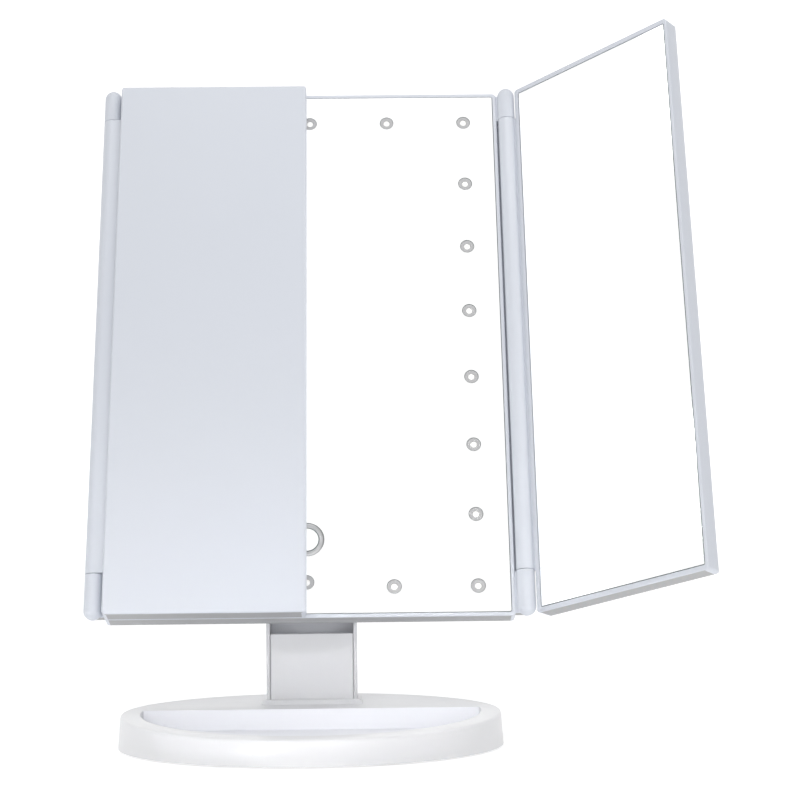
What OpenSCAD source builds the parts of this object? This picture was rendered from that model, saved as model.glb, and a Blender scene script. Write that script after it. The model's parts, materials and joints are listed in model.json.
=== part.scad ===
// Trifold vanity mirror: a lit centre panel with two hinged wings, on a tilting neck and an oval tray foot.
// Millimetres. Origin: centre of the pad under the foot. +X right, +Y back, +Z up.
// The head is drawn upright in its own frame (x right, y back from the mirror face, z up from its
// lower edge) and then leant back about the tilt pin.

/* [Pose] */
// Lean of the head behind vertical, degrees
tilt = 20; // [0:0.5:40]
// Opening of the left wing from closed, degrees
left_open = 0; // [0:1:170]
// Opening of the right wing from closed, degrees
right_open = 137; // [10:1:175]

/* [Head] */
// Width across the two hinge columns
head_w = 185.5; // [174:0.5:198]
// Height of the frame and of both wings
head_h = 247; // [235:1:262]
// Thickness of the centre panel at its edge
head_t = 9; // [8.4:0.2:11]
// Thickness of the front frame, up to the parting line with the rear cover
frame_t = 5.4; // [5:0.1:6]
// Width of the rim that shows round the centre mirror
rim_w = 1.6; // [1:0.1:2.2]
// Thickness of the mirror panes
glass_t = 2; // [1.6:0.1:2.2]
// Thickness of the adhesive strips behind the panes
tape_t = 0.3; // [0.2:0.1:0.5]
// Gap round each pane in its pocket
glass_gap = 0.2; // [0.1:0.05:0.4]
// Floor of the front frame, behind the pane
floor_t = 1.5; // [1.2:0.1:2]
// Wall of the frame and the rear cover
wall = 1.8; // [1.4:0.1:2.2]

/* [Hinge columns] */
// Radius of a hinge column
column_r = 3.8; // [3.4:0.1:4.2]
// Gap between the turning barrel and the side of the centre frame
barrel_gap = 0.7; // [0.5:0.1:1.2]
// Length of the fixed cap at the foot of a column
cap_low = 19; // [15:1:25]
// Length of the fixed cap at the top of a column, below the top edge of the frame
cap_high = 14; // [12:1:20]
// How far the top cap stands above the frame
cap_over = 2; // [1:0.5:3]
// Gap between a cap and the barrel
cap_seam = 0.3; // [0.2:0.1:0.6]
// Radius of a hinge pin
pin_r = 1.1; // [0.9:0.1:1.3]
// Depth of a hinge pin in its cap
pin_in_cap = 7; // [5:0.5:8]
// Length of the friction bush in each end of the barrel
bush_l = 9; // [7:0.5:12]
// Radius of the friction bush
bush_r = 2.4; // [2:0.1:2.6]
// First snap window in the side of the frame, from the lower edge
snap_first = 34; // [30:1:40]
// Spacing of the snap windows
snap_pitch = 42.5; // [36:0.5:44]
// Height of a snap window
snap_h = 4; // [3:0.5:6]

/* [Wings] */
// Thickness of a wing
wing_t = 7.8; // [7.2:0.1:9]
// Gap between the closed wing and the centre panel
face_gap = 0.6; // [0.4:0.1:1]
// Gap between the two closed wings
wing_gap = 2.8; // [1.6:0.1:3.6]
// Gap between a wing's edge and its column, bridged by a web
edge_gap = 0.7; // [0.6:0.1:1.6]
// Rim of a wing along its free edge
wing_rim = 1.4; // [1:0.1:2]
// Rim of a wing along its top and bottom
wing_rim_end = 2.2; // [1.6:0.1:3]
// Rim of a wing along its hinge edge
wing_rim_hinge = 2; // [1.6:0.1:3]
// How far the wing mirror lies below the wing's rim
wing_recess = 0.2; // [0.1:0.05:0.4]
// Ledge that the wing mirror rests on
wing_ledge = 2.5; // [2:0.1:4]
// Width of the bar between the two magnifying panes
pane_bar = 1.6; // [1.2:0.1:3]
// Height of the upper magnifying pane as a share of the wing
upper_share = 0.5; // [0.35:0.01:0.65]
// Radius of the rounded outer edges of a wing
wing_edge_r = 1; // [0.6:0.1:1.8]
// Radius of the corners of a wing and of the centre frame
corner_r = 2; // [1:0.1:3]

/* [Lights] */
// Number of lights across the top and the bottom
led_across = 5; // [3:2:7]
// Number of lights up each side, corners included
led_up = 8; // [6:1:9]
// Distance of the outer lights from the sides of the frame
led_side = 15.2; // [13:0.1:16.5]
// Height of the lowest row of lights
led_low = 13; // [12:0.5:15]
// Distance of the top row of lights from the top edge
led_high = 15; // [13:0.5:17]
// How far the light below the touch ring stands above its row
mid_up = 2.2; // [0:0.2:3]
// Outer radius of a light cup
cup_r = 2.9; // [2.6:0.1:3.2]
// Wall of a light cup
cup_wall = 1.15; // [0.9:0.05:1.4]
// Radius of the dome of a light
lamp_r = 1.65; // [1.3:0.05:1.7]
// Thickness of the light board
board_t = 1.2; // [1:0.1:1.6]
// Width of the light board's strips
board_w = 21; // [18:0.5:22]
// Margin of the light board outside the outer lights
board_margin = 8.5; // [7:0.1:9]
// Sideways place of the touch ring and of the light below it
touch_x = -1.4; // [-2:0.2:2]
// Height of the touch ring's centre
touch_up = 33.8; // [30:0.5:40]
// Outer radius of the touch ring
touch_r = 7.1; // [6:0.1:8]
// Width of the touch ring
touch_w = 1.9; // [1.4:0.1:2.4]

/* [Power] */
// Radius of a battery cell
cell_r = 7.1; // [7:0.05:7.25]
// Length of a battery cell
cell_l = 50.2; // [49.5:0.1:50.5]
// Number of cells, side by side
cells = 4; // [2:1:4]
// Sideways place of the middle of the battery bay
bay_x = -21; // [-23:0.5:-19]
// Height of the lower end of the battery bay
bay_z = 56; // [54:1:64]
// Width of the raised housing on the back
hump_w = 118; // [116:1:130]
// Lower edge of the raised housing
hump_z = 46; // [44:1:48]
// Height of the raised housing
hump_h = 72; // [70:1:80]
// Depth of the head at the raised housing
hump_t = 23.2; // [23:0.1:26]
// Thickness of the battery door
door_t = 1.8; // [1.5:0.1:2]
// Travel of the battery door before it lifts off
door_travel = 8; // [6:0.5:9]
// Travel of the power switch
switch_travel = 4; // [3:0.5:5]
// Sideways place of the control board and its switch and inlet
control_x = 36; // [34:1:38]

/* [Neck] */
// Height of the tilt pin above the table
pivot_z = 62; // [58:1:70]
// Distance of the tilt pin behind the widest line of the foot
pivot_y = 25; // [22:0.5:26]
// Distance of the tilt pin behind the mirror face
pivot_back = 20.1; // [19.5:0.1:23]
// Height of the tilt pin above the lower edge of the frame
pivot_up = 17.7; // [17:0.1:20]
// Width of the neck
neck_w = 38; // [36:0.1:41]
// Depth of the neck
neck_d = 14; // [13:0.5:15]
// Wall of the neck at its back, and of its front cover
neck_wall = 2.2; // [1.8:0.1:2.6]
// Width of the neck's sides, which show beside the front cover
neck_side_t = 1.5; // [1.3:0.1:2.2]
// Height of the top edge of the neck's front cover
cover_top = 44.5; // [40:0.5:47]
// Width of the knuckle between the ears
knuckle_w = 23; // [20:0.5:24]
// Radius of the knuckle
knuckle_r = 6.4; // [6:0.1:6.6]
// Radius of the tilt pin
shaft_r = 2; // [1.8:0.1:2.4]
// Running clearance of the tilt pin and the hinge pins
run_gap = 0.05; // [0.02:0.01:0.08]
// Thickness of a friction washer
washer_t = 0.8; // [0.6:0.1:1]
// Outer radius of a friction washer
washer_r = 5.6; // [5:0.1:6]

/* [Tilt hinge] */
// Width of the hinge flange
flange_w = 40; // [37:1:46]
// Height of the hinge flange
flange_l = 19; // [17:0.5:21]
// Thickness of the hinge flange
flange_t = 2.2; // [2:0.1:2.8]
// Distance of the flange above the tilt pin
flange_up = 5.5; // [4:0.5:6]
// Distance of the flange's screws from its edges
flange_margin = 4.8; // [4.4:0.1:5.5]
// Width across the flats of the nut
nut_flats = 7; // [6.6:0.1:7.4]
// Thickness of the nut
nut_t = 2.2; // [1.8:0.1:2.2]
// Radius of the tilt pin's head
pin_head_r = 4.2; // [3.6:0.1:4.5]
// Thickness of the tilt pin's head
pin_head_t = 2.4; // [2:0.1:2.8]
// Thickness of the caps over the pin's head and the nut
cap_t = 0.8; // [0.6:0.1:0.9]
// Radius of the recess for the pin's head
recess_r = 5; // [4.7:0.1:5.4]

/* [Foot] */
// Half the width of the foot at the table
foot_half_w = 78.5; // [74:0.5:84]
// Reach of the foot in front of its widest line
foot_front = 67; // [62:0.5:74]
// Reach of the foot behind its widest line
foot_back = 49.5; // [47:0.5:56]
// Height of the foot's top at its widest line
foot_h = 14.3; // [13:0.1:17]
// Slope of the foot's top, down to the front, degrees
foot_slope = 2.9; // [2:0.1:3.5]
// How far the side wall leans in over its height
foot_draft = 1; // [0.4:0.1:1.6]
// Radius of the rounded upper edge
foot_edge = 1.2; // [0.8:0.1:1.6]
// Wall of the foot
foot_wall = 2.2; // [1.8:0.1:2.6]
// Width of the rim round the tray
tray_rim = 8; // [7:0.1:10]
// Height of the tray's floor above the table
tray_z = 6; // [5.6:0.1:7]
// Straight back edge of the tray, behind the widest line of the foot
tray_back = 4.6; // [0:0.2:7]
// Thickness of the pad under the foot
pad_t = 1.5; // [1.2:0.1:2]
// How far the pad stands out below the foot
pad_out = 0.8; // [0.5:0.1:1]
// Distance of the pad's edge from the edge of the foot
pad_in = 8; // [7.5:0.5:16]
// Thickness of the bottom cover
bottom_t = 2.2; // [2:0.1:2.5]
// Thickness of the ballast plate
weight_t = 8; // [4:0.2:8.4]
// Height of the collar round the neck
collar_h = 1.6; // [1:0.1:2.4]
// Width of the collar round the neck
collar_w = 1.3; // [0.8:0.1:2]

/* [Hidden] */
$fn = 48;

eps = 0.01;
through = 40;           // longer than any hole is deep
fit = 0.1;              // gap between two pieces that are put together by hand
screw_r = 0.8;          // core of a self-tapping screw, and its pilot hole
screw_hole_r = 1.1;     // clearance hole of a screw
screw_head_r = 2;
screw_head_t = 1;
screw_boss_r = 2.6;
white = [0.93, 0.94, 0.96];
shade = [0.82, 0.84, 0.88];
mirror_grey = [0.75, 0.80, 0.84];
steel = [0.62, 0.63, 0.65];
green = [0.12, 0.40, 0.25];
black = [0.12, 0.12, 0.13];

axis_x = head_w / 2 - column_r;
frame_x = axis_x - column_r - barrel_gap;
glass_x = frame_x - rim_w - glass_gap;
glass_z0 = rim_w + glass_gap;
glass_z1 = head_h - rim_w - glass_gap;
floor_y = glass_t + tape_t;
board_y = floor_y + floor_t;
cover_in = head_t - wall;
hump_z1 = hump_z + hump_h;

// ---- 2D helpers ----
// Rectangle with round corners: ra at the low-y corners, rb at the high-y corners
module round_box(x0, x1, y0, y1, ra, rb) {
    translate([x0 + ra, y0]) square([x1 - x0 - 2 * ra, ra + eps]);
    translate([x0, y0 + ra]) square([x1 - x0, y1 - y0 - ra - rb]);
    translate([x0 + rb, y1 - rb - eps]) square([x1 - x0 - 2 * rb, rb + eps]);
    for (x = [x0 + ra, x1 - ra]) translate([x, y0 + ra]) circle(ra);
    for (x = [x0 + rb, x1 - rb]) translate([x, y1 - rb]) circle(rb);
}

// ---- placing helpers ----
// An (x, z) outline, from y0 back to y1
module facing(y0, y1) translate([0, y1, 0]) rotate([90, 0, 0]) linear_extrude(y1 - y0) children();
// A (y, z) outline, from x0 to x1
module across(x0, x1) translate([x0, 0, 0]) rotate([90, 0, 90]) linear_extrude(x1 - x0) children();
// An (x, y) outline, from z0 up to z1
module upward(z0, z1) translate([0, 0, z0]) linear_extrude(z1 - z0) children();
// Rods along y and x
module rod_y(r, y0, y1) translate([0, y0, 0]) rotate([-90, 0, 0]) cylinder(r = r, h = y1 - y0);
module rod_x(r, x0, x1) translate([x0, 0, 0]) rotate([0, 90, 0]) cylinder(r = r, h = x1 - x0);

// A block with rounded front edges (rf), rounded back edges (rb) and round corners (rc)
module soft_block(x0, x1, y0, y1, z0, z1, rf, rb, rc) {
    intersection() {
        facing(y0, y1) round_box(x0, x1, z0, z1, rc, rc);
        upward(z0, z1) round_box(x0, x1, y0, y1, rf, rb);
        across(x0, x1) rotate(90) mirror([0, 1]) round_box(z0, z1, y0, y1, rf, rb);
    }
}

// The head leans back about the tilt pin
module in_head() {
    translate([0, pivot_y, pivot_z]) rotate([-tilt, 0, 0]) translate([0, -pivot_back, -pivot_up]) children();
}
// The pin's own frame: x along the pin
module at_pin() translate([0, pivot_y, pivot_z]) children();
module both_sides() {
    children();
    mirror([1, 0, 0]) children();
}

// ======== Foot ========
function foot_y(t, inset) = (sin(t) < 0 ? foot_front - inset : foot_back - inset) * sin(t);
function oval(inset) = [for (t = [0 : 4 : 356]) [(foot_half_w - inset) * cos(t), foot_y(t, inset)]];
module oval_2d(inset) polygon(oval(inset));
module top_slope(depth) rotate([foot_slope, 0, 0]) translate([0, 0, foot_h - depth]) children();
bottom_z = pad_out + bottom_t;
boss_in = foot_wall + foot_draft + screw_head_r + 4 * fit;
boss_r = 2.4;
boss_angles = [63, 117, 243, 297];
neck_in_foot = 8;       // how deep the neck stands in the foot
socket_x = neck_w / 2 - 0.8;
socket_y = neck_d / 2 - 0.8;
weight_front = tray_back + 4;

module slice(inset) linear_extrude(eps) oval_2d(inset);
module foot_outside() {
    hull() {
        translate([0, 0, pad_out]) slice(0);
        top_slope(foot_edge) slice(foot_draft);
        top_slope(foot_edge * 0.45) slice(foot_draft + foot_edge * 0.18);
        top_slope(foot_edge * 0.12) slice(foot_draft + foot_edge * 0.53);
        top_slope(eps) slice(foot_draft + foot_edge);
    }
}
module tray_2d(inset) {
    intersection() {
        oval_2d(foot_draft + tray_rim + inset);
        translate([-foot_half_w, tray_back - inset - 2 * foot_front])
            square([2 * foot_half_w, 2 * foot_front]);
    }
}
module neck_rect(dx, dy) {
    translate([-neck_w / 2 - dx, pivot_y - neck_d / 2 - dy]) square([neck_w + 2 * dx, neck_d + 2 * dy]);
}
module socket_rect(gap) {
    translate([-socket_x - gap, pivot_y - socket_y - gap]) square([2 * (socket_x + gap), 2 * (socket_y + gap)]);
}
function platform_z(y) = foot_h / cos(foot_slope) + y * tan(foot_slope);
neck_seat = platform_z(pivot_y - neck_d / 2) + 0.2;

module foot_cavity() {
    difference() {
        intersection() {
            upward(0, through) oval_2d(foot_wall + foot_draft);
            top_slope(foot_wall) translate([-foot_half_w, -foot_front, -60])
                cube([2 * foot_half_w, foot_front + foot_back, 60]);
        }
        translate([0, 0, tray_z - foot_wall]) linear_extrude(through) tray_2d(-foot_wall);
        upward(bottom_z + 1, through) socket_rect(fit + foot_wall);
        for (t = boss_angles) boss_place(t) cylinder(r = boss_r, h = through);
    }
}
module boss_place(t) {
    translate([(foot_half_w - boss_in) * cos(t), foot_y(t, boss_in), bottom_z]) children();
}
module base_shell() color(white) {
    difference() {
        union() {
            foot_outside();
            collar();
        }
        foot_cavity();
        upward(tray_z, through) tray_2d(0);
        upward(bottom_z, through) socket_rect(fit);
        upward(neck_seat - fit, through) neck_rect(fit, fit);
        for (t = boss_angles) boss_place(t) translate([0, 0, -1]) cylinder(r = screw_r, h = 5);
    }
}
// Low collar that the neck seems to grow out of
module collar() {
    difference() {
        hull() {
            upward(foot_h - 1, foot_h) neck_rect(2 * collar_w, 2 * collar_w);
            upward(foot_h, neck_seat + collar_h) neck_rect(collar_w, collar_w);
        }
        upward(foot_h, through) neck_rect(fit, fit);
    }
}
module base_bottom() color(shade) {
    difference() {
        upward(pad_out, bottom_z) oval_2d(foot_wall + foot_draft + fit);
        upward(0, pad_t) oval_2d(pad_in - fit);
        for (t = boss_angles) boss_place(t) {
            translate([0, 0, -bottom_t - 1]) cylinder(r = screw_hole_r, h = bottom_t + 2);
            translate([0, 0, -bottom_t - 1]) cylinder(r = screw_head_r + fit, h = 1 + screw_head_t);
        }
    }
}
module base_pad() color(black) upward(0, pad_t) oval_2d(pad_in);
module base_screws() color(steel) {
    for (t = boss_angles) boss_place(t) {
        translate([0, 0, -bottom_t]) cylinder(r = screw_head_r, h = screw_head_t);
        translate([0, 0, -bottom_t]) cylinder(r = screw_r, h = bottom_t + 3.5);
    }
}
module base_weight() color(steel) {
    difference() {
        intersection() {
            upward(bottom_z, bottom_z + weight_t) oval_2d(foot_wall + foot_draft + 6);
            translate([-foot_half_w * 0.72, weight_front, 0])
                cube([foot_half_w * 1.44, foot_back, through]);
        }
        upward(0, through) socket_rect(fit + foot_wall + 0.5);
        for (t = boss_angles) boss_place(t) translate([0, 0, -1]) cylinder(r = boss_r + 0.6, h = through);
    }
}

// ======== Neck ========
neck_x = neck_w / 2;
inner_x = neck_x - neck_side_t;
side_play = 0.05;                                     // on each side of a friction washer
washer_x = knuckle_w / 2 + side_play + washer_t / 2;
ear_x = knuckle_w / 2 + washer_t + 2 * side_play;     // inner face of an ear
head_sink = 3.8;                                      // recess for the pin's head and for the nut
back_top = pivot_z - knuckle_r - 0.8;
neck_foot = bottom_z + 1.4;

module neck_side() {
    // (y, z) outline of an ear: straight sides and a round head
    translate([pivot_y - neck_d / 2, neck_seat]) square([neck_d, pivot_z - neck_seat]);
    translate([pivot_y, pivot_z]) circle(neck_d / 2);
}
module neck_back() color(white) {
    difference() {
        union() {
            difference() {
                union() {
                    across(-neck_x, neck_x) neck_side();
                    upward(neck_foot, neck_seat + 1) socket_rect(0);
                }
                // open channel between the back wall and the front cover
                translate([-inner_x, pivot_y - neck_d, 0])
                    cube([2 * inner_x, 1.5 * neck_d - neck_wall, back_top - 1]);
            }
            for (z = neck_screw_z) translate([0, pivot_y, z]) rod_y(screw_boss_r, neck_boss_y, neck_d / 2 - 1);
        }
        translate([-ear_x, 0, back_top]) cube([2 * ear_x, 2 * pivot_y, 100]);
        at_pin() {
            rod_x(shaft_r + run_gap, -neck_w, neck_w);
            both_sides() rod_x(recess_r, neck_x - head_sink, neck_w);
        }
        for (z = neck_screw_z) translate([0, pivot_y, z]) {
            rod_y(screw_hole_r, 0, neck_d);
            rod_y(screw_head_r + fit, neck_d / 2 - 1.6, neck_d);
        }
    }
}
neck_screw_z = [neck_seat + 6.5, cover_top - 6.5];
neck_boss_y = 1;
module neck_front() color(white) {
    y0 = pivot_y - socket_y;
    difference() {
        union() {
            soft_block(-inner_x + fit, inner_x - fit, y0, y0 + neck_wall, neck_foot, cover_top, 0.4, 0.3, 0.8);
            for (z = neck_screw_z) translate([0, y0, z]) rod_y(2.4, neck_wall - eps, socket_y + neck_boss_y - fit);
        }
        for (z = neck_screw_z) translate([0, y0, z]) rod_y(screw_r, neck_wall, neck_d);
    }
}
module neck_screws() color(steel) {
    for (z = neck_screw_z) translate([0, pivot_y, z]) {
        rod_y(screw_head_r, neck_d / 2 - 1.6, neck_d / 2 - 1.6 + screw_head_t);
        rod_y(screw_r, neck_boss_y - 4, neck_d / 2 - 1.6);
    }
}
seat_x = neck_x - head_sink;
spring_r = 4;
spring_rise = 0.18;     // rise of one conical washer, and its thickness
module pivot_shaft() color(steel) at_pin() {
    rod_x(shaft_r, -seat_x - eps, neck_x - cap_t - fit);
    rod_x(pin_head_r, -seat_x - pin_head_t, -seat_x);
}
module friction_washers() color(shade) at_pin() {
    for (s = [-1, 1]) difference() {
        rod_x(washer_r, s * washer_x - washer_t / 2, s * washer_x + washer_t / 2);
        rod_x(shaft_r + run_gap, -neck_w, neck_w);
    }
}
// Two conical washers, rim to rim
module spring_washers() color(steel) at_pin() translate([seat_x, 0, 0]) rotate([0, 90, 0]) rotate_extrude() {
    polygon([[shaft_r + fit, 0], [spring_r, spring_rise], [spring_r, 2 * spring_rise],
        [shaft_r + fit, spring_rise]]);
    polygon([[shaft_r + fit, 3 * spring_rise], [spring_r, 2 * spring_rise], [spring_r, 3 * spring_rise],
        [shaft_r + fit, 4 * spring_rise]]);
}
module pivot_nut() color(steel) at_pin() difference() {
    translate([seat_x + 4 * spring_rise, 0, 0]) rotate([0, 90, 0])
        cylinder(r = nut_flats / sqrt(3), h = nut_t, $fn = 6);
    rod_x(shaft_r, 0, neck_w);
}
module pivot_caps() color(white) at_pin() both_sides() rod_x(recess_r - fit, neck_x - cap_t, neck_x);

// ======== Tilt hinge on the head ========
flange_z0 = pivot_up + flange_up;
flange_z1 = flange_z0 + flange_l;
flange_y = head_t + flange_t;
block_screw_x = flange_w / 2 - flange_margin;
block_screws = [for (x = [-block_screw_x, block_screw_x], z = [flange_z0 + flange_margin, flange_z1 - flange_margin])
    [x, z]];
module hinge_block() color(shade) in_head() {
    difference() {
        union() {
            soft_block(-flange_w / 2, flange_w / 2, head_t, flange_y, flange_z0, flange_z1, 0.2, 1, 2);
            across(-knuckle_w / 2, knuckle_w / 2) {
                translate([pivot_back, pivot_up]) circle(knuckle_r);
                polygon([[head_t, flange_z0], [pivot_back - knuckle_r * 0.7, pivot_up - knuckle_r * 0.7],
                    [pivot_back + knuckle_r * 0.7, pivot_up + knuckle_r * 0.7], [flange_y, flange_z1 - 1]]);
            }
        }
        translate([0, pivot_back, pivot_up]) rod_x(shaft_r + run_gap, -neck_w, neck_w);
        for (p = block_screws) translate([p[0], 0, p[1]]) {
            rod_y(screw_hole_r, 0, through);
            rod_y(screw_head_r + fit, flange_y - screw_head_t, through);
        }
    }
}
module hinge_block_screws() color(steel) in_head() {
    for (p = block_screws) translate([p[0], 0, p[1]]) {
        rod_y(screw_head_r, flange_y - screw_head_t, flange_y);
        rod_y(screw_r, cover_in - 1, flange_y - screw_head_t);
    }
}

// ======== Centre panel ========
led_z0 = led_low;
led_dz = (head_h - led_high - led_low) / (led_up - 1);
led_x1 = frame_x - led_side;
led_pitch_x = 2 * led_x1 / (led_across - 1);
led_places = concat(
    [for (i = [0 : led_across - 1]) [-led_x1 + i * led_pitch_x, head_h - led_high]],
    [for (i = [0 : led_across - 1]) i == (led_across - 1) / 2
        ? [touch_x, led_low + mid_up] : [-led_x1 + i * led_pitch_x, led_low]],
    [for (x = [-led_x1, led_x1], i = [1 : led_up - 2]) [x, led_z0 + i * led_dz]]);
module at_leds() for (p = led_places) translate([p[0], 0, p[1]]) children();
module at_touch() translate([touch_x, 0, touch_up]) children();
screw_x = led_x1 - board_w / 2 - 6;
screw_low = 36;         // lowest row of the screws that hold the rear cover
frame_screws = [for (x = [-screw_x, screw_x], z = [screw_low, hump_z1 + 16, head_h - led_high - board_w / 2 - 14])
    [x, z]];
snap_z = [for (i = [0 : 4]) snap_first + i * snap_pitch];
boss_y = cover_in - 0.4;
lip_gap = 0.5;          // between a barrel and the lip behind it

module cap_post(z0, z1, dome_up) {
    // A fixed piece of column with a round end
    translate([axis_x, 0, z0]) cylinder(r = column_r, h = z1 - z0);
    translate([axis_x, 0, dome_up ? z1 : z0]) sphere(column_r);
}
module frame_caps() {
    top = head_h + cap_over - column_r;
    both_sides() {
        cap_post(column_r, cap_low, false);
        cap_post(head_h - cap_high, top, true);
        for (z = [[1.2, cap_low], [head_h - cap_high, head_h - 1.2]])
            translate([frame_x - 1, 0.4, z[0]]) cube([axis_x - frame_x + 1, column_r - 0.4, z[1] - z[0]]);
    }
}
module hinge_bores(r) {
    both_sides() translate([axis_x, 0, 0]) {
        translate([0, 0, cap_low - pin_in_cap]) cylinder(r = r, h = pin_in_cap + 1);
        translate([0, 0, head_h - cap_high - 1]) cylinder(r = r, h = pin_in_cap + 1);
    }
}
module centre_frame() color(white) in_head() {
    difference() {
        union() {
            soft_block(-frame_x, frame_x, 0, frame_t, 0, head_h, 0.4, 0.1, corner_r);
            frame_caps();
            // lip behind each barrel, which closes the gap beside it
            both_sides() translate([frame_x - 1, column_r + lip_gap, cap_low - 1])
                cube([axis_x - frame_x - 0.5, frame_t - column_r - lip_gap - 0.1, head_h - cap_low - cap_high + 2]);
            for (p = frame_screws) translate([p[0], 0, p[1]]) rod_y(screw_boss_r, floor_y, boss_y);
        }
        // pocket of the pane
        facing(-1, floor_y) round_box(-frame_x + rim_w, frame_x - rim_w, rim_w, head_h - rim_w, 1, 1);
        // space behind the floor
        difference() {
            facing(board_y, head_t) round_box(-frame_x + wall, frame_x - wall, wall, head_h - wall, 1, 1);
            for (p = frame_screws) translate([p[0], 0, p[1]]) rod_y(screw_boss_r, 0, through);
        }
        for (p = frame_screws) translate([p[0], 0, p[1]]) rod_y(screw_r, board_y - 0.6, through);
        at_leds() rod_y(cup_r + fit, 0, 10);
        at_touch() rod_y(touch_r + fit, 0, 10);
        for (z = snap_z) translate([-head_w, board_y + 0.2, z - snap_h / 2])
            cube([2 * head_w, frame_t - board_y - 0.6, snap_h]);
        hinge_bores(pin_r);
    }
}
module centre_glass() color(mirror_grey) in_head() {
    difference() {
        facing(0, glass_t) round_box(-glass_x, glass_x, glass_z0, glass_z1, 0.8, 0.8);
        at_leds() rod_y(cup_r + fit, -1, 10);
        at_touch() rod_y(touch_r + fit, -1, 10);
    }
}
tape_w = 10;
tape_z0 = touch_up + touch_r + 7;
module glass_tape() color(shade) in_head() {
    for (x = [-1, 0, 1]) translate([x * (led_x1 - 20) - tape_w / 2, glass_t, tape_z0])
        cube([tape_w, tape_t, head_h - led_high - cup_r - 10 - tape_z0]);
}
module led_board() color(green) in_head() {
    open_x = led_x1 - board_w / 2;
    open_z1 = head_h - led_high - board_w / 2;
    difference() {
        facing(board_y, board_y + board_t)
            round_box(-led_x1 - board_margin, led_x1 + board_margin, led_low - board_margin,
                head_h - led_high + board_margin, 2, 2);
        facing(0, through) difference() {
            round_box(-open_x, open_x, led_low + board_w / 2, open_z1, 3, 3);
            translate([-board_w / 2 - 1.5, 0]) square([board_w + 3, touch_up + touch_r + 3]);
        }
    }
}
lamp_y = 0.4;           // top of a light's dome, behind the mirror face
cup_y = 0.15;           // front edge of a light cup, behind the mirror face
module led_chips() color([0.98, 0.97, 0.88]) in_head() {
    at_leds() {
        rod_y(lamp_r, lamp_y + lamp_r * 0.5, board_y);
        intersection() {
            translate([0, lamp_y + lamp_r, 0]) sphere(lamp_r);
            rod_y(lamp_r, 0, board_y);
        }
    }
}
module led_cups() color(shade) in_head() {
    at_leds() difference() {
        rod_y(cup_r, cup_y, board_y);
        rod_y(cup_r - cup_wall, -1, 10);
    }
}
module touch_ring() color(steel) in_head() {
    at_touch() difference() {
        rod_y(touch_r, 0, board_y);
        rod_y(touch_r - touch_w, -1, 10);
    }
}
module touch_cap() color(mirror_grey) in_head() at_touch() rod_y(touch_r - touch_w - 0.05, 0.05, 1.2);
module touch_pad() color(black) in_head() at_touch() rod_y(touch_r - touch_w - 0.4, 1.2, board_y);

// ======== Rear cover and power ========
hump_x = hump_w / 2;
bay_half = cells * cell_r + 1;
bay_top = bay_z + cell_l + 2.6;
bay_floor = cover_in - 1.2;
cell_y = bay_floor + 0.2 + cell_r;
door_half = bay_half + 2;
door_top = bay_top + 2.2;
door_y = hump_t - door_t;
tongue = 1;
tongue_z = [for (i = [0 : 2]) hump_z + 14 + 20 * i];
board_half = 14;        // half the width of the control board
board_z0 = hump_z + wall + 1;
board_z1 = board_z0 + 50;
pcb_t = 1.2;
port_w = 7.8;
port_t = 3;
pcb_y = hump_t - wall - pcb_t - 4;
post_in = 4;            // distance of its posts from the edges of the control board
switch_z = hump_z + 42;

module rear_cover() color(white) in_head() {
    difference() {
        union() {
            soft_block(-frame_x, frame_x, frame_t, head_t, 0, head_h, 0.1, 1.6, corner_r);
            soft_block(-hump_x, hump_x, head_t - 2, hump_t, hump_z, hump_z1, 0.2, 2.5, 7);
            translate([bay_x - bay_half - 1.4, bay_floor - 1.2, bay_z - 1.4])
                cube([2 * bay_half + 2.8, 6, bay_top - bay_z + 2.8]);
        }
        // inside of the flat part, but not of the bosses
        difference() {
            facing(0, cover_in) round_box(-frame_x + wall, frame_x - wall, wall, head_h - wall, 1, 1);
            for (p = frame_screws) translate([p[0], 0, p[1]]) rod_y(3, boss_y, through);
            for (p = block_screws) translate([p[0], 0, p[1]]) rod_y(2.4, cover_in - 1.2, through);
            bay_walls();
        }
        // inside of the raised part, round the battery bay
        difference() {
            facing(head_t - wall - 1, hump_t - wall) round_box(-hump_x + wall, hump_x - wall,
                hump_z + wall, hump_z1 - wall, 5, 5);
            bay_walls();
            board_posts();
        }
        // battery bay and the bed of its door
        translate([bay_x - bay_half, bay_floor, bay_z]) cube([2 * bay_half, through, bay_top - bay_z]);
        translate([bay_x - door_half - fit, door_y - fit, hump_z - 5])
            cube([2 * (door_half + fit), 20, door_top + fit - hump_z + 5]);
        for (z = tongue_z) translate([bay_x - door_half - tongue - 0.3, door_y - fit, z - 6 - door_travel - 0.6])
            cube([2 * (door_half + tongue + 0.3), 0.9 + fit, 12 + door_travel + 1.2]);
        for (z = tongue_z) translate([bay_x - door_half - tongue - 0.3, door_y - fit, z - 6 - door_travel - 0.6])
            cube([2 * (door_half + tongue + 0.3), 20, 12.9]);
        // screw holes
        for (p = frame_screws) translate([p[0], 0, p[1]]) {
            rod_y(screw_hole_r, 0, through);
            rod_y(screw_head_r + fit, head_t - screw_head_t - fit, through);
        }
        for (p = block_screws) translate([p[0], 0, p[1]]) rod_y(screw_r, 0, through);
        // switch slot, thumb hollow round it, and inlet
        translate([control_x - 2.7, hump_t - 8, switch_z - 2.6]) cube([5.4, 20, 5.2 + switch_travel]);
        translate([control_x, hump_t - 0.5, switch_z + switch_travel / 2]) facing(0, 2)
            round_box(-4.2, 4.2, -4.8 - switch_travel / 2, 4.8 + switch_travel / 2, 1.5, 1.5);
        translate([control_x, 0, hump_z - 1]) upward(0, wall + 2) usb_hole(0.3);
    }
}
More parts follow.
